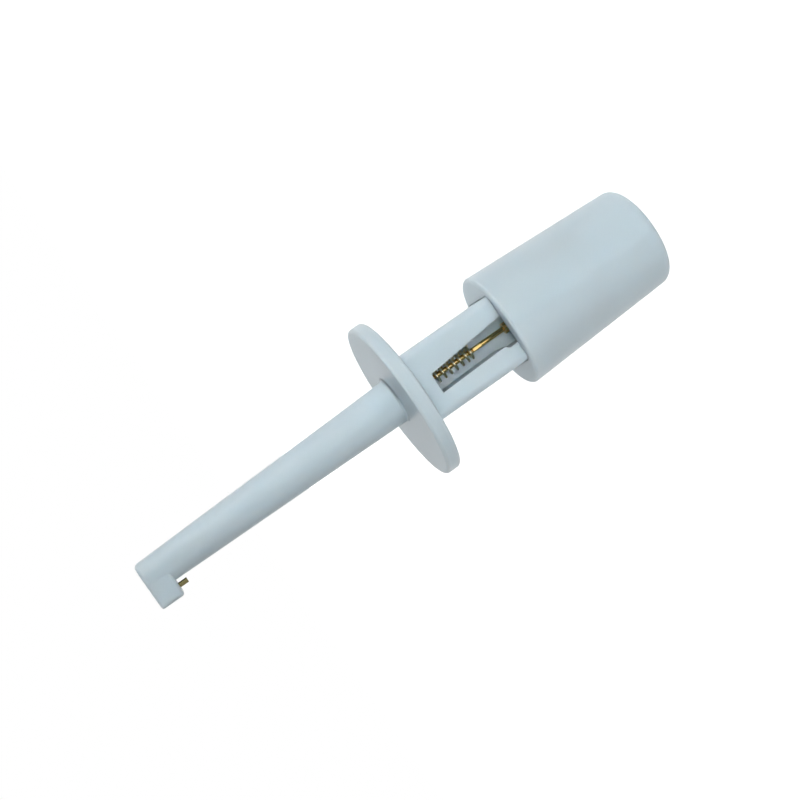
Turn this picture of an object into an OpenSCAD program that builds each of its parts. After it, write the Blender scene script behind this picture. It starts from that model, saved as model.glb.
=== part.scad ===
// Single-hook test clip: a slotted nylon barrel with a finger flange and a
// long nose, a thumb cap that slides on the slotted stem, and a gold-plated
// hook wire that a coil spring keeps drawn into the foot at the nose's tip.
// The clip stands on its thumb cap, with +Z along its axis towards the tip
// and the foot on the -X side. The stem's slot opens towards -Y.

/* [Thumb cap] */
// Length of the cap from its flat end to its front face
cap_len = 17.0; // [17:0.5:20]
// Outer diameter at the front face
cap_rim_d = 11.8; // [11.4:0.1:13]
// Outer diameter just in front of the rounded end
cap_end_d = 10.3; // [10:0.1:11.2]
// Radius of the rounded edge at the closed end
cap_end_round = 1.1; // [0.8:0.1:2]
// Radius of the rounded outer edge of the front face
cap_rim_round = 0.4; // [0.1:0.05:0.5]
// Thickness of the end wall
cap_end_wall = 1.4; // [1:0.1:1.6]
// Thickness of the end wall left under the central post
post_foot_t = 0.4; // [0.3:0.05:0.6]
// Diameter of the hole that a test lead enters by
lead_hole_d = 2.6; // [2.4:0.1:3.4]
// Height of the central post above the end wall
post_len = 10.6; // [7:0.2:12]
// Wall thickness of the central post
post_wall = 0.4; // [0.3:0.02:0.44]

/* [Finger flange] */
// Diameter of the flange
flange_d = 16.2; // [12:0.2:22]
// Thickness of the flange
flange_t = 1.5; // [1:0.1:2.5]
// Radius of the flange's rounded rim
flange_round = 0.35; // [0.1:0.05:0.45]

/* [Stem] */
// Length of stem in the open between cap and flange, at rest
stem_open_len = 10.3; // [9.6:0.1:14]
// Length of stem inside the cap, at rest
stem_in_cap = 6.5; // [3:0.5:6.5]
// Length of the stem's wide part inside the cap, at rest
wide_in_cap = 1.0; // [0.5:0.1:1.5]
// Width of the stem, across the slot
stem_w = 7.0; // [6.6:0.05:7.1]
// Depth of the stem, along the slot's open direction
stem_d = 8.2; // [7.4:0.1:8.3]
// Radius of the stem's long edges
stem_round = 0.8; // [0.7:0.05:1]
// Width of the tongue at the stem's end
tongue_w = 6.2; // [5:0.1:6.4]
// Depth of the tongue
tongue_d = 6.4; // [5:0.1:6.6]
// Thickness of the web behind the slot
web_t = 2.9; // [2.4:0.1:3]
// Solid length between the slot's bottom and the flange
slot_stop_len = 2.0; // [1:0.25:4]
// Distance of the slot's foot-side wall from the axis, at the slot's bottom
slot_foot_side = 1.5; // [1.4:0.05:1.6]
// Slope by which that wall nears the axis towards the cap
slot_foot_draft = 1.7; // [0:0.1:2]
// Distance of the slot's other wall from the axis, at the slot's bottom
slot_back_side = 0.5; // [0.3:0.05:0.9]
// Slope by which that wall leaves the axis towards the cap
slot_draft = 5.6; // [0:0.2:6]
// Distance of the slot's foot-side wall from the axis, at its flared mouth
slot_mouth_side = 1.62; // [1.61:0.01:1.9]
// Length of the flared mouth that shows in front of the cap, at rest
slot_mouth_len = 1.2; // [0.6:0.1:2]

/* [Nose] */
// Length of the nose from the flange's front face to the tip
nose_len = 28.2; // [24:0.2:36]
// Diameter of the nose at the flange
nose_root_d = 4.4; // [3.8:0.05:5.4]
// Diameter of the nose at its tip
nose_tip_d = 3.2; // [3:0.02:3.6]
// How far the nose's root sits off the axis, away from the foot
nose_root_shift = 0.3; // [0:0.05:0.5]
// Radius of the blend between nose and flange
nose_blend = 0.35; // [0.1:0.05:0.5]
// Radius of the rounded edge at the tip
nose_tip_round = 0.45; // [0.2:0.05:0.5]

/* [Foot] */
// Length of the foot along the nose
foot_len = 2.4; // [1.8:0.1:3.6]
// Thickness of plastic below the hook's short leg
foot_cover = 0.66; // [0.3:0.01:0.8]
// Width of the foot
foot_w = 3.0; // [2:0.1:3.1]
// Radius of the foot's edges
foot_round = 0.3; // [0.1:0.05:0.4]

/* [Hook wire] */
// Diameter of the wire
wire_d = 0.5; // [0.4:0.02:0.56]
// Distance between the hook's two legs, centre to centre
leg_spacing = 2.19; // [1.95:0.01:2.4]
// Radius of the hook's two bends, at the wire's centre
bend_r = 0.6; // [0.45:0.05:0.8]
// How far the hook's bottom lies below the tip's end face
hook_sunk = 0.2; // [0.1:0.05:0.4]
// How far the short leg stands out behind the foot
leg_out = 0.9; // [0.4:0.1:2]
// Width across the two pinched ears that hold the spring
ear_w = 1.3; // [1.2:0.05:1.5]
// Length of the pinched ears
ear_len = 0.9; // [0.5:0.1:1.4]
// Thickness of the pinched ears
ear_t = 0.28; // [0.2:0.02:0.36]

/* [Return spring] */
// Outer diameter of the spring
spring_d = 1.55; // [1.4:0.05:1.65]
// Diameter of the spring's wire
spring_wire_d = 0.25; // [0.2:0.01:0.28]
// Length of the spring at rest, between its ear and its seat
spring_len = 14.9; // [14:0.1:16]
// Distance from one open turn to the next
spring_pitch = 0.67; // [0.5:0.01:0.9]
// How deep behind the flange's front face the spring's seat lies in the nose
seat_depth = 6.2; // [5:0.2:9]

/* [Terminal] */
// Outer diameter of the brass terminal
terminal_d = 1.1; // [1:0.02:1.14]
// How far the terminal's end lies inside the cap's rim
terminal_sunk = 0.6; // [0.2:0.1:2]
// Depth to which the hook wire is crimped into the terminal
crimp_depth = 3.0; // [2:0.25:5]
// Diameter of the solder cup
cup_d = 0.84; // [0.76:0.02:0.88]
// Depth of the solder cup
cup_depth = 3.0; // [2:0.25:4]
// Distance from the cap's end wall to the solder cup's mouth
cup_sunk = 1.0; // [0.5:0.1:2]

/* [Fits] */
// Travel of the cap, with the hook, from rest to fully pressed
travel = 8.5; // [5:0.25:8.5]
// Clearance of the stem in the cap's pocket, on each side
stem_clear = 0.08; // [0.05:0.01:0.1]
// Clearance of the cap's post in the stem's bore, on the radius
post_clear = 0.1; // [0.05:0.01:0.1]
// Clearance around the hook wire in the nose, on the radius
wire_clear = 0.08; // [0.03:0.01:0.1]
// Clearance around the spring in its bore, on the radius
spring_clear = 0.17; // [0.1:0.01:0.25]
// Clearance at an assembled joint that doesn't move, on the radius
seat_clear = 0.01; // [0.01:0.005:0.03]
// Gap left where one piece rests against another
rest_gap = 0.03; // [0.01:0.01:0.05]

/* [Hidden] */

plastic_color = [0.80, 0.85, 0.88];
gold_color = [0.83, 0.62, 0.22];
spring_color = [0.52, 0.44, 0.22];
brass_color = [0.72, 0.53, 0.25];

round_fn = 96;
small_fn = 48;
// how far a cut runs past the face that it opens
past = 0.5;
// how far a drafted wall lies inside its rounded edges, so that the two
// surfaces cross instead of only touching
wall_inset = 0.002;
// how far the nose's blend reaches into the nose's own cone
blend_overlap = 0.03;

// heights along the axis
rim_z = cap_len;
flange_back_z = rim_z + stem_open_len;
flange_front_z = flange_back_z + flange_t;
tip_z = flange_front_z + nose_len;
foot_back_z = tip_z - foot_len;
stem_end_z = rim_z - stem_in_cap;
shoulder_z = rim_z - wide_in_cap;
slot_bottom_z = flange_back_z - slot_stop_len;
slot_mouth_z = rim_z + slot_mouth_len;
post_top_z = cap_end_wall + post_len;
// the pressed cap stops when this step meets the stem's shoulder
pocket_step_z = shoulder_z - travel - rest_gap;
// the stem's bore clears the post of the pressed cap
post_reach_z = post_top_z + travel + spring_clear;
seat_z = flange_front_z + seat_depth;
spring_end_z = seat_z - spring_len;
terminal_top_z = rim_z - terminal_sunk;
cup_mouth_z = cap_end_wall + cup_sunk;
hook_bottom_z = tip_z - hook_sunk - wire_d / 2;
bend_z = hook_bottom_z - bend_r;
leg_end_z = foot_back_z - leg_out;

// radii and half widths
wire_r = wire_d / 2;
wire_bore_r = wire_r + wire_clear;
spring_bore_r = spring_d / 2 + spring_clear;
post_bore_r = terminal_d / 2 + seat_clear;
post_r = post_bore_r + post_wall;
crimp_bore_r = wire_r + seat_clear;
foot_bottom_x = -(leg_spacing + wire_r + foot_cover);
web_front_y = stem_d / 2 - web_t;
slot_back_end = slot_back_side + (slot_bottom_z - stem_end_z) * tan(slot_draft);
slot_foot_end = slot_foot_side - (slot_bottom_z - slot_mouth_z) * tan(slot_foot_draft);
mouth_slope_len = slot_mouth_side - slot_foot_end;

// ---------- outlines ----------

// Rectangle with rounded corners, given by two opposite corners
module round_rectangle(low, high, r) {
    translate([low[0] + r, low[1]])
        square([high[0] - low[0] - 2 * r, high[1] - low[1]]);
    translate([low[0], low[1] + r])
        square([high[0] - low[0], high[1] - low[1] - 2 * r]);
    for (x = [low[0] + r, high[0] - r])
        for (y = [low[1] + r, high[1] - r])
            translate([x, y])
                circle(r, $fn = small_fn);
}

// Half section of a round body with a drafted side and two rounded edges
module drafted_section(low_r, high_r, height, low_round, high_round) {
    draft = atan((high_r - low_r) / height);
    function centre(y, r) = [low_r + y * tan(draft) - r / cos(draft), y];
    function on_wall(c, r) = c + (r - wall_inset) * [cos(draft), -sin(draft)];
    low = centre(low_round, low_round);
    high = centre(height - high_round, high_round);
    polygon([
        [0, 0],
        [low[0], 0],
        if (low_round > 0) on_wall(low, low_round),
        if (high_round > 0) on_wall(high, high_round),
        [high[0], height],
        [0, height]
    ]);
    if (low_round > 0)
        translate(low)
            circle(low_round, $fn = small_fn);
    if (high_round > 0)
        translate(high)
            circle(high_round, $fn = small_fn);
}

// Concave fillet between a wall along +Y and a floor along +X
module fillet_outline(r) {
    difference() {
        square(r);
        translate([r, r])
            circle(r, $fn = small_fn);
    }
}

// ---------- barrel ----------

module flange() {
    translate([0, 0, flange_back_z])
        rotate_extrude($fn = round_fn)
            drafted_section(flange_d / 2, flange_d / 2, flange_t, flange_round, flange_round);
}

// The nose is a cone leant over a little, so that its foot side runs nearly
// parallel to the wire while the draft shows on the other side
module nose() {
    tip_r = nose_tip_d / 2;
    root_r = nose_root_d / 2;
    lean = atan(nose_root_shift / nose_len);
    translate([nose_root_shift, 0, flange_front_z])
        rotate([0, -lean, 0])
            rotate_extrude($fn = round_fn) {
                translate([0, -flange_t / 2])
                    square([root_r, flange_t / 2 + nose_blend / 2]);
                drafted_section(root_r, tip_r, nose_len, 0, nose_tip_round);
                translate([root_r - blend_overlap, 0])
                    fillet_outline(nose_blend);
            }
}

// Block at the tip, rounded along all three directions
module foot() {
    low = [foot_bottom_x, -foot_w / 2, foot_back_z];
    high = [foot_round + 0.05, foot_w / 2, tip_z];
    size = high - low;
    intersection() {
        translate([0, 0, low[2]])
            linear_extrude(size[2])
                round_rectangle([low[0], low[1]], [high[0], high[1]], foot_round);
        translate([0, high[1], 0])
            rotate([90, 0, 0])
                linear_extrude(size[1])
                    round_rectangle([low[0], low[2]], [high[0], high[2]], foot_round);
        translate([high[0], 0, 0])
            rotate([90, 0, -90])
                linear_extrude(size[0])
                    round_rectangle([low[1], low[2]], [high[1], high[2]], foot_round);
    }
}

// Cross-section of the stem or its tongue, grown all round by a clearance
module stem_outline(width, depth, grow) {
    corner = [width / 2 + grow, depth / 2 + grow];
    round_rectangle(-corner, corner, stem_round + grow);
}

// A narrower tongue carries on from the stem's wide part, because the cap
// tapers towards its closed end
module stem() {
    translate([0, 0, shoulder_z])
        linear_extrude(flange_back_z + flange_t / 2 - shoulder_z)
            stem_outline(stem_w, stem_d, 0);
    translate([0, 0, stem_end_z])
        linear_extrude(shoulder_z - stem_end_z + past)
            stem_outline(tongue_w, tongue_d, 0);
}

module slot() {
    translate([0, web_front_y, 0])
        rotate([90, 0, 0])
            linear_extrude(web_front_y + stem_d / 2 + past)
                polygon([
                    [-slot_foot_side, slot_bottom_z],
                    [slot_back_side, slot_bottom_z],
                    [slot_back_end, stem_end_z - past],
                    [-slot_mouth_side, stem_end_z - past],
                    [-slot_mouth_side, slot_mouth_z - mouth_slope_len],
                    [-slot_foot_end, slot_mouth_z]
                ]);
}

// Groove in the end face that the bottom of the hook drops into, with a
// tongue left between the two legs
module hook_groove() {
    gap = wire_clear;
    tongue_round = bend_r - wire_r - gap;
    tongue_top_z = hook_bottom_z - wire_r - rest_gap;
    translate([0, wire_r + gap, 0])
        rotate([90, 0, 0])
            linear_extrude(wire_d + 2 * gap)
                difference() {
                    translate([-leg_spacing - wire_r - gap, bend_z])
                        square([leg_spacing + wire_d + 2 * gap, tip_z - bend_z + past]);
                    round_rectangle(
                        [-leg_spacing + wire_r + gap, bend_z - bend_r],
                        [-wire_r - gap, tongue_top_z],
                        tongue_round);
                }
}

module barrel() {
    color(plastic_color)
        difference() {
            union() {
                stem();
                flange();
                nose();
                foot();
            }
            slot();
            hook_groove();
            // the end face is square to the axis, though the nose leans
            translate([-nose_root_d, -nose_root_d, tip_z])
                cube([2 * nose_root_d, 2 * nose_root_d, past]);
            // the nose's own bore, from the spring's seat to the tip
            translate([0, 0, seat_z - past])
                cylinder(h = tip_z - seat_z + 2 * past, r = wire_bore_r, $fn = small_fn);
            // wider bore that the spring lies in
            translate([0, 0, post_reach_z - past])
                cylinder(h = seat_z - post_reach_z + past, r = spring_bore_r, $fn = small_fn);
            // still wider bore that the cap's post slides in
            translate([0, 0, stem_end_z - past])
                cylinder(h = post_reach_z - stem_end_z + past, r = post_r + post_clear, $fn = small_fn);
            // hole through the foot for the hook's short leg
            translate([-leg_spacing, 0, foot_back_z - past])
                cylinder(h = foot_len + 2 * past, r = wire_bore_r, $fn = small_fn);
        }
}

// ---------- thumb cap ----------

// Pocket that the stem slides in: wide behind the front face, and narrow
// where only the stem's tongue reaches
module pocket() {
    translate([0, 0, cap_end_wall])
        linear_extrude(pocket_step_z - cap_end_wall + past)
            stem_outline(tongue_w, tongue_d, stem_clear);
    translate([0, 0, pocket_step_z])
        linear_extrude(rim_z - pocket_step_z + past)
            stem_outline(stem_w, stem_d, stem_clear);
}

// The post stands on the end wall and grips the terminal. The lead hole stops
// short of the post, whose own narrower bore carries on
module thumb_cap() {
    post_foot_z = cap_end_wall - post_foot_t;
    color(plastic_color)
        difference() {
            union() {
                difference() {
                    rotate_extrude($fn = round_fn)
                        drafted_section(cap_end_d / 2, cap_rim_d / 2, cap_len, cap_end_round, cap_rim_round);
                    pocket();
                }
                translate([0, 0, post_foot_z])
                    cylinder(h = post_top_z - post_foot_z, r = post_r, $fn = small_fn);
            }
            translate([0, 0, -past])
                cylinder(h = post_top_z + 2 * past, r = post_bore_r, $fn = small_fn);
            translate([0, 0, -past])
                cylinder(h = post_foot_z + past, r = lead_hole_d / 2, $fn = small_fn);
        }
}

// ---------- hook wire ----------

// Quarter bend between two straight stretches of wire, in the XZ plane
module wire_bend() {
    rotate([90, 0, 0])
        rotate_extrude(angle = 90, $fn = round_fn)
            translate([bend_r, 0])
                circle(wire_r, $fn = small_fn);
}

module hook_wire() {
    start_z = terminal_top_z - crimp_depth;
    color(gold_color) {
        translate([0, 0, start_z])
            cylinder(h = bend_z - start_z, r = wire_r, $fn = small_fn);
        translate([-bend_r, 0, bend_z])
            wire_bend();
        translate([-leg_spacing + bend_r, 0, hook_bottom_z])
            rotate([0, 90, 0])
                cylinder(h = leg_spacing - 2 * bend_r, r = wire_r, $fn = small_fn);
        translate([-leg_spacing + bend_r, 0, bend_z])
            mirror([1, 0, 0])
                wire_bend();
        translate([-leg_spacing, 0, leg_end_z])
            cylinder(h = bend_z - leg_end_z, r = wire_r, $fn = small_fn);
        // two ears pinched out of the wire carry the end of the spring
        translate([0, 0, spring_end_z - rest_gap - ear_len])
            intersection() {
                cylinder(h = ear_len, d = ear_w, $fn = small_fn);
                translate([-ear_t / 2, -ear_w, 0])
                    cube([ear_t, 2 * ear_w, ear_len]);
            }
    }
}

// ---------- return spring ----------

turn_steps = 14;
wire_sides = 8;
coil_r = (spring_d - spring_wire_d) / 2;
closed_pitch = spring_wire_d * 1.04;
coil_rise = spring_len - rest_gap - spring_wire_d;
open_turns = (coil_rise - 2 * closed_pitch) / spring_pitch;
coil_turns = open_turns + 2;
coil_steps = round(coil_turns * turn_steps);

// Height of the spring's wire after a number of turns: one closed turn at
// each end, and open turns between
function coil_z(turn) =
    turn < 1 ? turn * closed_pitch :
    turn < 1 + open_turns ? closed_pitch + (turn - 1) * spring_pitch :
    closed_pitch + open_turns * spring_pitch + (turn - 1 - open_turns) * closed_pitch;

function coil_ring(turn) =
    let (
        a = 360 * turn,
        climb = atan(spring_pitch / (2 * PI * coil_r)),
        out = [cos(a), sin(a), 0],
        up = [sin(a) * sin(climb), -cos(a) * sin(climb), cos(climb)]
    )
    [for (s = [0 : wire_sides - 1])
        let (b = 360 * s / wire_sides)
        out * (coil_r + spring_wire_d / 2 * cos(b))
            + up * (spring_wire_d / 2 * sin(b))
            + [0, 0, coil_z(turn)]];

module return_spring() {
    last = coil_steps;
    points = [for (i = [0 : last]) each coil_ring(i * coil_turns / coil_steps)];
    sides = [for (i = [0 : last - 1])
        for (s = [0 : wire_sides - 1])
            let (n = (s + 1) % wire_sides)
            [i * wire_sides + s, (i + 1) * wire_sides + s,
             (i + 1) * wire_sides + n, i * wire_sides + n]];
    ends = [
        [for (s = [0 : wire_sides - 1]) s],
        [for (s = [wire_sides - 1 : -1 : 0]) last * wire_sides + s]
    ];
    color(spring_color)
        translate([0, 0, spring_end_z + spring_wire_d / 2])
            polyhedron(points = points, faces = concat(sides, ends), convexity = 10);
}

// ---------- solder terminal ----------

module solder_terminal() {
    color(brass_color)
        difference() {
            translate([0, 0, cup_mouth_z])
                cylinder(h = terminal_top_z - cup_mouth_z, d = terminal_d, $fn = small_fn);
            translate([0, 0, cup_mouth_z - past])
                cylinder(h = cup_depth + past, d = cup_d, $fn = small_fn);
            translate([0, 0, terminal_top_z - crimp_depth - rest_gap])
                cylinder(h = crimp_depth + rest_gap + past, r = crimp_bore_r, $fn = small_fn);
        }
}

barrel();
thumb_cap();
hook_wire();
return_spring();
solder_terminal();
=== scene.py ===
import bpy
import math
from mathutils import Matrix, Vector


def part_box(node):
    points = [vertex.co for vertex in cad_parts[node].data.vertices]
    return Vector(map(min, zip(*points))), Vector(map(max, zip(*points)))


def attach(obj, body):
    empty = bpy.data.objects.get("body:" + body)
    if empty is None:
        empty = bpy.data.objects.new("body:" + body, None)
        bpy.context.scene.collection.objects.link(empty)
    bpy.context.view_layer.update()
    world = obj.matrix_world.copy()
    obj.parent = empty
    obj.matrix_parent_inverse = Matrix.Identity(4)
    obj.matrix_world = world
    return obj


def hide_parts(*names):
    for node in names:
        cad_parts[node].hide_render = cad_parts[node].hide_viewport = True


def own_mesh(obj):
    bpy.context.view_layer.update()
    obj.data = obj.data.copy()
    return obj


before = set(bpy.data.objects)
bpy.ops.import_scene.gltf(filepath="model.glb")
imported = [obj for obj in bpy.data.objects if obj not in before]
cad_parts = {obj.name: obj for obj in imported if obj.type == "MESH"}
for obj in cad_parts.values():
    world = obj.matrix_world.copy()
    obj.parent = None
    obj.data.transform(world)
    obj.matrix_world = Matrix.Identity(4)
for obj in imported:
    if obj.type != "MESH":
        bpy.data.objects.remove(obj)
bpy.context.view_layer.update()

# ---------------------------------------------------------------- camera
# The clip is seen square to its slot, a little from the nose's end, with the
# camera rolled so that the nose points down to the left.

scene = bpy.context.scene
scene.view_settings.view_transform = "Standard"

look_at = Vector((0.000082, 0, 0.028365))
view_azimuth = math.radians(2.0)
view_elevation = math.radians(9.12)
view_distance = 0.1391
axis_on_screen = math.radians(34.99)


def direction_at(azimuth, elevation):
    """Unit vector out from the clip. Azimuth turns from -Y to +X, elevation rises to +Z."""
    return Vector((
        math.sin(azimuth) * math.cos(elevation),
        -math.cos(azimuth) * math.cos(elevation),
        math.sin(elevation),
    ))


to_camera = direction_at(view_azimuth, view_elevation)
along_clip = (to_camera * math.sin(view_elevation) - Vector((0, 0, 1))).normalized()
across_clip = Vector((-math.cos(view_azimuth), -math.sin(view_azimuth), 0))
roll_cos, roll_sin = math.cos(axis_on_screen), math.sin(axis_on_screen)
screen_right = along_clip * roll_cos + across_clip * roll_sin
screen_up = along_clip * roll_sin - across_clip * roll_cos

camera_data = bpy.data.cameras.new("camera")
camera_data.lens = 67.27
camera_data.sensor_width = 36.0
camera_data.clip_start = 0.01
camera = bpy.data.objects.new("camera", camera_data)
scene.collection.objects.link(camera)
camera.matrix_world = Matrix.Translation(look_at + to_camera * view_distance) @ Matrix((
    (screen_right.x, screen_up.x, to_camera.x),
    (screen_right.y, screen_up.y, to_camera.y),
    (screen_right.z, screen_up.z, to_camera.z),
)).to_4x4()
scene.camera = camera

# ---------------------------------------------------------------- lamps and surround
# A small lamp near the camera lights the slot, a wide soft box stands on the
# side away from the foot and two stand behind, and a little one lights the
# cap's edge near the foot. The pale surround is brighter away from the foot.

stem_middle = Vector((0, 0, 0.018))
cap_middle = Vector((0, 0, 0.010))
stand_distance = 0.5
wide_box = 0.4


def soft_box(name, azimuth, elevation, distance, size, power,
             aim=look_at, spread=180, mirrored=True):
    """Square area lamp that faces a point, placed from it by angles in degrees."""
    direction = direction_at(math.radians(azimuth), math.radians(elevation))
    lamp = bpy.data.lights.new(name, "AREA")
    lamp.shape = "SQUARE"
    lamp.size = size
    lamp.energy = power
    lamp.spread = math.radians(spread)
    obj = bpy.data.objects.new(name, lamp)
    scene.collection.objects.link(obj)
    obj.visible_camera = False
    obj.visible_glossy = mirrored
    obj.location = aim + direction * distance
    obj.rotation_euler = direction.to_track_quat("Z", "Y").to_euler()


soft_box("front_lamp", 3, 11, stand_distance, size=0.08, power=0.0200,
         aim=stem_middle, spread=20, mirrored=False)
soft_box("over_box", 57, 0, stand_distance, size=wide_box, power=1.35)
soft_box("low_fill", -65, 0, distance=0.12, size=0.018, power=0.0015,
         aim=cap_middle, spread=50, mirrored=False)
for name, azimuth in (("back_box_near_foot", -162), ("back_box_far_side", 150)):
    soft_box(name, azimuth, 8, stand_distance, size=wide_box, power=1.0, mirrored=False)


def seen_directly(nodes, links):
    """Socket that is 1 for rays that show the background, and 0 for rays that light."""
    path = nodes.new("ShaderNodeLightPath")
    value = path.outputs["Is Camera Ray"]
    for ray in ("Is Glossy Ray", "Is Transmission Ray"):
        larger = nodes.new("ShaderNodeMath")
        larger.operation = "MAXIMUM"
        links.new(value, larger.inputs[0])
        links.new(path.outputs[ray], larger.inputs[1])
        value = larger.outputs["Value"]
    return value


world = bpy.data.worlds.new("studio")
scene.world = world
world.use_nodes = True
nodes, links = world.node_tree.nodes, world.node_tree.links
nodes.clear()
world_out = nodes.new("ShaderNodeOutputWorld")
surround = nodes.new("ShaderNodeBackground")
surround.inputs["Color"].default_value = (0.95, 0.98, 1.0, 1.0)
ray_direction = nodes.new("ShaderNodeTexCoord")
apart = nodes.new("ShaderNodeSeparateXYZ")
brightness = nodes.new("ShaderNodeMapRange")
brightness.inputs["From Min"].default_value = -1.0
brightness.inputs["From Max"].default_value = 1.0
brightness.inputs["To Min"].default_value = 0.0
brightness.inputs["To Max"].default_value = 0.36
links.new(ray_direction.outputs["Generated"], apart.inputs["Vector"])
links.new(apart.outputs["X"], brightness.inputs["Value"])
links.new(brightness.outputs["Result"], surround.inputs["Strength"])
white = nodes.new("ShaderNodeBackground")
white.inputs["Color"].default_value = (1.0, 1.0, 1.0, 1.0)
white.inputs["Strength"].default_value = 1.0
choose = nodes.new("ShaderNodeMixShader")
links.new(seen_directly(nodes, links), choose.inputs["Fac"])
links.new(surround.outputs["Background"], choose.inputs[1])
links.new(white.outputs["Background"], choose.inputs[2])
links.new(choose.outputs["Shader"], world_out.inputs["Surface"])

# ---------------------------------------------------------------- floor
# Plain pale bench top that the clip stands on by its thumb cap. A glow that
# only the camera and shiny surfaces see makes it nearly white, and it keeps
# the clip's shadow.

floor_size = 3.0
half = floor_size / 2
bench_glow = 0.88
mesh = bpy.data.meshes.new("floor")
mesh.from_pydata(
    [(-half, -half, 0), (half, -half, 0), (half, half, 0), (-half, half, 0)],
    [], [(0, 1, 2, 3)])
floor = bpy.data.objects.new("floor", mesh)
scene.collection.objects.link(floor)
bench = bpy.data.materials.new("pale_bench")
bench.use_nodes = True
nodes, links = bench.node_tree.nodes, bench.node_tree.links
surface = nodes["Principled BSDF"]
surface.inputs["Base Color"].default_value = (0.80, 0.80, 0.80, 1.0)
surface.inputs["Roughness"].default_value = 0.9
surface.inputs["Specular IOR Level"].default_value = 0.0
glow = nodes.new("ShaderNodeEmission")
strength = nodes.new("ShaderNodeMath")
strength.operation = "MULTIPLY"
strength.inputs[1].default_value = bench_glow
links.new(seen_directly(nodes, links), strength.inputs[0])
links.new(strength.outputs["Value"], glow.inputs["Strength"])
both = nodes.new("ShaderNodeAddShader")
links.new(surface.outputs["BSDF"], both.inputs[0])
links.new(glow.outputs["Emission"], both.inputs[1])
links.new(both.outputs["Shader"], nodes["Material Output"].inputs["Surface"])
mesh.materials.append(bench)

# ---------------------------------------------------------------- barrel
# One moulding of white nylon: slotted stem, finger flange, long nose and
# foot. The wall lets some light through, and the skin is smooth with faint
# flow marks. The hook wire runs through it and the cap slides on its stem.

nylon_white = (0.57, 0.67, 0.72)
flow_contrast = 0.02
edge_softening = 0.0001
# sockets of a Mix node set to colour, which has others of the same names
mix_factor, mix_first, mix_second, mix_result = 0, 6, 7, 2


def moulded_nylon(name, color):
    """White nylon with a smooth skin, softened edges and a little light inside the wall."""
    material = bpy.data.materials.new(name)
    material.use_nodes = True
    nodes, links = material.node_tree.nodes, material.node_tree.links
    surface = nodes["Principled BSDF"]
    surface.inputs["Specular IOR Level"].default_value = 0.22
    surface.inputs["IOR"].default_value = 1.5
    surface.inputs["Coat Weight"].default_value = 0.15
    surface.inputs["Coat Roughness"].default_value = 0.10
    surface.inputs["Subsurface Weight"].default_value = 0.85
    surface.inputs["Subsurface Radius"].default_value = (1.0, 0.95, 0.9)
    surface.inputs["Subsurface Scale"].default_value = 0.002
    place = nodes.new("ShaderNodeTexCoord")
    # flow marks: broad, faint changes of shade and gloss
    flow = nodes.new("ShaderNodeTexNoise")
    flow.inputs["Scale"].default_value = 180.0
    flow.inputs["Detail"].default_value = 2.0
    links.new(place.outputs["Object"], flow.inputs["Vector"])
    shade = nodes.new("ShaderNodeMix")
    shade.data_type = "RGBA"
    shade.inputs[mix_first].default_value = (*[c * (1 - flow_contrast) for c in color], 1.0)
    shade.inputs[mix_second].default_value = (*[c * (1 + flow_contrast) for c in color], 1.0)
    links.new(flow.outputs["Fac"], shade.inputs[mix_factor])
    links.new(shade.outputs[mix_result], surface.inputs["Base Color"])
    gloss = nodes.new("ShaderNodeMapRange")
    gloss.inputs["To Min"].default_value = 0.30
    gloss.inputs["To Max"].default_value = 0.42
    links.new(flow.outputs["Fac"], gloss.inputs["Value"])
    links.new(gloss.outputs["Result"], surface.inputs["Roughness"])
    # the mould's fine skin, over the softened edges
    grain = nodes.new("ShaderNodeTexNoise")
    grain.inputs["Scale"].default_value = 1500.0
    grain.inputs["Detail"].default_value = 3.0
    links.new(place.outputs["Object"], grain.inputs["Vector"])
    soft_edge = nodes.new("ShaderNodeBevel")
    soft_edge.samples = 4
    soft_edge.inputs["Radius"].default_value = edge_softening
    skin = nodes.new("ShaderNodeBump")
    skin.inputs["Strength"].default_value = 0.05
    skin.inputs["Distance"].default_value = 0.0001
    links.new(grain.outputs["Fac"], skin.inputs["Height"])
    links.new(soft_edge.outputs["Normal"], skin.inputs["Normal"])
    links.new(skin.outputs["Normal"], surface.inputs["Normal"])
    return material


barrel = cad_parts["barrel"]
barrel.data.materials.clear()
barrel.data.materials.append(moulded_nylon("barrel_plastic", nylon_white))

# ---------------------------------------------------------------- thumb cap
# Drafted cap of the same nylon with a closed front face, pressed by the
# thumb. The stem slides in its close-fitting pocket, and inside it a post
# grips the terminal.

thumb_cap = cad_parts["thumb_cap"]
thumb_cap.data.materials.clear()
thumb_cap.data.materials.append(moulded_nylon("cap_plastic", nylon_white))

# ---------------------------------------------------------------- hook wire
# Hard wire 0.5 mm thick, gold-plated, bent into the hook at the nose's tip
# and pinched into two ears that hold the spring. Its end at the hook is
# painted dark as shade of the dim nose tip, and it stays bright in the slot.

# length of the painted shade at the hook's end, and the blend into it
painted_shade_length = 0.006
painted_shade_blend = 0.001
bright_gloss, dull_gloss = 0.7, 1.4


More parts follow.
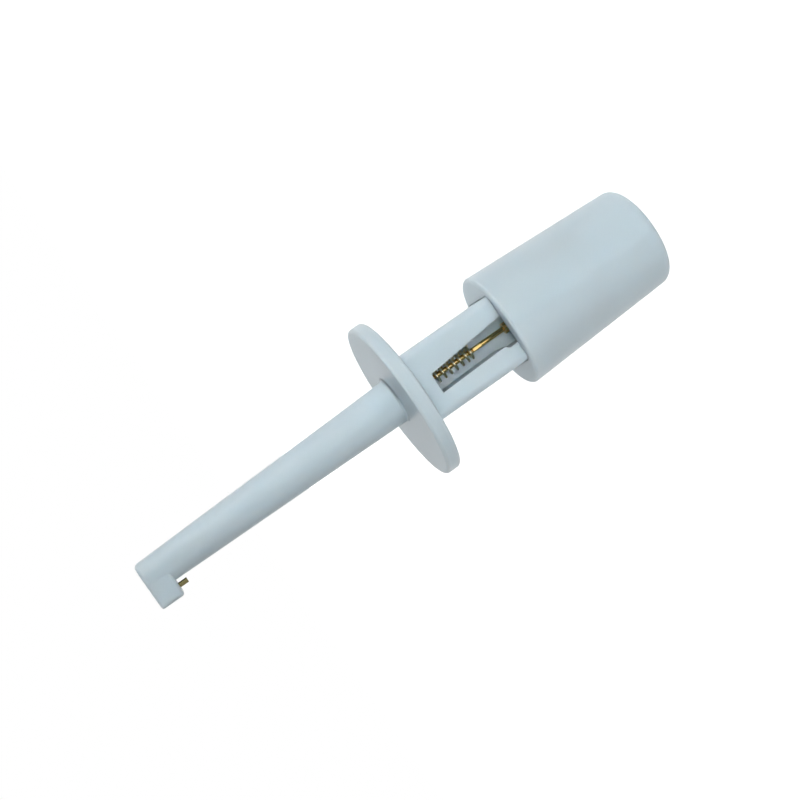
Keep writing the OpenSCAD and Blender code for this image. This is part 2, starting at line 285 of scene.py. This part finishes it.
def plated_metal(name, color, worn_and_shaded_color, roughness, painted_shade_from=None):
    """Plating with fine worn drawing streaks along Z, and painted shade in the dark colour
    above a height if one is given.
    """
    material = bpy.data.materials.new(name)
    material.use_nodes = True
    nodes, links = material.node_tree.nodes, material.node_tree.links
    surface = nodes["Principled BSDF"]
    surface.inputs["Metallic"].default_value = 1.0
    place = nodes.new("ShaderNodeTexCoord")
    stretch = nodes.new("ShaderNodeMapping")
    stretch.inputs["Scale"].default_value = (1.0, 1.0, 0.15)
    links.new(place.outputs["Object"], stretch.inputs["Vector"])
    streaks = nodes.new("ShaderNodeTexNoise")
    streaks.inputs["Scale"].default_value = 4000.0
    streaks.inputs["Detail"].default_value = 3.0
    links.new(stretch.outputs["Vector"], streaks.inputs["Vector"])
    # only the stronger streaks are worn
    worn = nodes.new("ShaderNodeMapRange")
    worn.inputs["From Min"].default_value = 0.45
    worn.inputs["From Max"].default_value = 0.85
    links.new(streaks.outputs["Fac"], worn.inputs["Value"])
    wear_and_shade = worn.outputs["Result"]
    # painted shade: above the given height the plating turns to the dark colour
    if painted_shade_from is not None:
        apart = nodes.new("ShaderNodeSeparateXYZ")
        links.new(place.outputs["Object"], apart.inputs["Vector"])
        shaded_end = nodes.new("ShaderNodeMapRange")
        shaded_end.inputs["From Min"].default_value = painted_shade_from - painted_shade_blend
        shaded_end.inputs["From Max"].default_value = painted_shade_from + painted_shade_blend
        links.new(apart.outputs["Z"], shaded_end.inputs["Value"])
        total = nodes.new("ShaderNodeMath")
        total.use_clamp = True
        links.new(worn.outputs["Result"], total.inputs[0])
        links.new(shaded_end.outputs["Result"], total.inputs[1])
        wear_and_shade = total.outputs["Value"]
    shade = nodes.new("ShaderNodeMix")
    shade.data_type = "RGBA"
    shade.inputs[mix_first].default_value = (*color, 1.0)
    shade.inputs[mix_second].default_value = (*worn_and_shaded_color, 1.0)
    links.new(wear_and_shade, shade.inputs[mix_factor])
    links.new(shade.outputs[mix_result], surface.inputs["Base Color"])
    gloss = nodes.new("ShaderNodeMapRange")
    gloss.inputs["To Min"].default_value = roughness * bright_gloss
    gloss.inputs["To Max"].default_value = roughness * dull_gloss
    links.new(wear_and_shade, gloss.inputs["Value"])
    links.new(gloss.outputs["Result"], surface.inputs["Roughness"])
    return material


hook_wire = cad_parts["hook_wire"]
hook_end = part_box("hook_wire")[1][2]
hook_wire.data.materials.clear()
hook_wire.data.materials.append(plated_metal(
    "gold_plate", (0.92, 0.66, 0.26), (0.17, 0.15, 0.07), 0.13,
    painted_shade_from=hook_end - painted_shade_length))

# ---------------------------------------------------------------- return spring
# Coil of 0.25 mm plated spring wire, threaded on the hook wire between its
# ears and a shoulder inside the nose, with a closed turn at each end. The
# real one shortens as the cap is pressed; this one keeps its CAD length.

spring_wire = 0.00025
open_pitch = 0.00067
closed_pitch = spring_wire * 1.04
end_turns = 1.0
steps_per_turn = 24
wire_facets = 12
low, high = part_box("return_spring")
coil_radius = (high[0] - low[0] - spring_wire) / 2
coil_rise = high[2] - low[2] - spring_wire
open_turns = (coil_rise - 2 * end_turns * closed_pitch) / open_pitch

tree = bpy.data.node_groups.new("coil_spring", "GeometryNodeTree")
tree.interface.new_socket("Geometry", in_out="INPUT", socket_type="NodeSocketGeometry")
socket = {}
for name, kind in (
    ("Coil Radius", "NodeSocketFloat"),
    ("Wire Radius", "NodeSocketFloat"),
    ("Closed Pitch", "NodeSocketFloat"),
    ("Open Pitch", "NodeSocketFloat"),
    ("Open Turns", "NodeSocketFloat"),
    ("Steps per Turn", "NodeSocketInt"),
    ("Start Height", "NodeSocketFloat"),
    ("Material", "NodeSocketMaterial"),
):
    socket[name] = tree.interface.new_socket(name, in_out="INPUT", socket_type=kind).identifier
tree.interface.new_socket("Geometry", in_out="OUTPUT", socket_type="NodeSocketGeometry")
nodes, links = tree.nodes, tree.links
given = nodes.new("NodeGroupInput").outputs


def worked_out(operation, first, second):
    """Output of a Math node whose two inputs are sockets or plain numbers."""
    math_node = nodes.new("ShaderNodeMath")
    math_node.operation = operation
    for slot_index, value in enumerate((first, second)):
        if isinstance(value, (int, float)):
            math_node.inputs[slot_index].default_value = value
        else:
            links.new(value, math_node.inputs[slot_index])
    return math_node.outputs["Value"]


# a line with one point for each step, wound into the coil by the point's index
all_turns = worked_out("ADD", given["Open Turns"], 2 * end_turns)
step_count = worked_out("MULTIPLY", all_turns, given["Steps per Turn"])
all_steps = worked_out("ROUND", step_count, 0.0)
line = nodes.new("GeometryNodeCurvePrimitiveLine")
points = nodes.new("GeometryNodeResampleCurve")
links.new(line.outputs["Curve"], points.inputs["Curve"])
links.new(worked_out("ADD", all_steps, 1.0), points.inputs["Count"])
index = nodes.new("GeometryNodeInputIndex").outputs["Index"]
turn = worked_out("DIVIDE", worked_out("MULTIPLY", index, all_turns), all_steps)
angle = worked_out("MULTIPLY", turn, 2 * math.pi)
after_first = worked_out("MAXIMUM", worked_out("SUBTRACT", turn, end_turns), 0.0)
opened = worked_out("MINIMUM", after_first, given["Open Turns"])
closed = worked_out("SUBTRACT", turn, opened)
height = worked_out("ADD", given["Start Height"], worked_out(
    "ADD",
    worked_out("MULTIPLY", opened, given["Open Pitch"]),
    worked_out("MULTIPLY", closed, given["Closed Pitch"])))
position = nodes.new("ShaderNodeCombineXYZ")
for side, swing in (("X", "COSINE"), ("Y", "SINE")):
    offset = worked_out("MULTIPLY", given["Coil Radius"], worked_out(swing, angle, 0.0))
    links.new(offset, position.inputs[side])
links.new(height, position.inputs["Z"])
wind = nodes.new("GeometryNodeSetPosition")
links.new(points.outputs["Curve"], wind.inputs["Geometry"])
links.new(position.outputs["Vector"], wind.inputs["Position"])
# the round wire itself
profile = nodes.new("GeometryNodeCurvePrimitiveCircle")
profile.inputs["Resolution"].default_value = wire_facets
links.new(given["Wire Radius"], profile.inputs["Radius"])
draw = nodes.new("GeometryNodeCurveToMesh")
draw.inputs["Fill Caps"].default_value = True
links.new(wind.outputs["Geometry"], draw.inputs["Curve"])
links.new(profile.outputs["Curve"], draw.inputs["Profile Curve"])
smooth = nodes.new("GeometryNodeSetShadeSmooth")
links.new(draw.outputs["Mesh"], smooth.inputs["Geometry"])
real = nodes.new("GeometryNodeRealizeInstances")
links.new(smooth.outputs["Geometry"], real.inputs["Geometry"])
finish = nodes.new("GeometryNodeSetMaterial")
links.new(real.outputs["Geometry"], finish.inputs["Geometry"])
links.new(given["Material"], finish.inputs["Material"])
links.new(finish.outputs["Geometry"], nodes.new("NodeGroupOutput").inputs["Geometry"])

spring = bpy.data.objects.new("coil_spring", bpy.data.meshes.new("coil_spring"))
scene.collection.objects.link(spring)
winding = spring.modifiers.new("winding", "NODES")
winding.node_group = tree
for name, value in (
    ("Coil Radius", coil_radius),
    ("Wire Radius", spring_wire / 2),
    ("Closed Pitch", closed_pitch),
    ("Open Pitch", open_pitch),
    ("Open Turns", open_turns),
    ("Steps per Turn", steps_per_turn),
    ("Start Height", low[2] + spring_wire / 2),
    ("Material", plated_metal(
        "spring_wire", (1.0, 0.90, 0.64), (0.48, 0.38, 0.18), 0.22)),
):
    winding[socket[name]] = value
spring.data = bpy.data.meshes.new_from_object(
    spring.evaluated_get(bpy.context.evaluated_depsgraph_get()))
spring.modifiers.remove(winding)

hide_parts("return_spring")
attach(spring, "barrel")
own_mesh(spring)

# ---------------------------------------------------------------- terminal
# Turned brass tube, crimped on the hook wire inside the cap, with a cup at
# its other end that a lead is soldered into. Only its rim shows at the slot.

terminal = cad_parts["solder_terminal"]
terminal.data.materials.clear()
terminal.data.materials.append(plated_metal(
    "terminal_brass", (0.95, 0.68, 0.28), (0.75, 0.48, 0.18), 0.3))
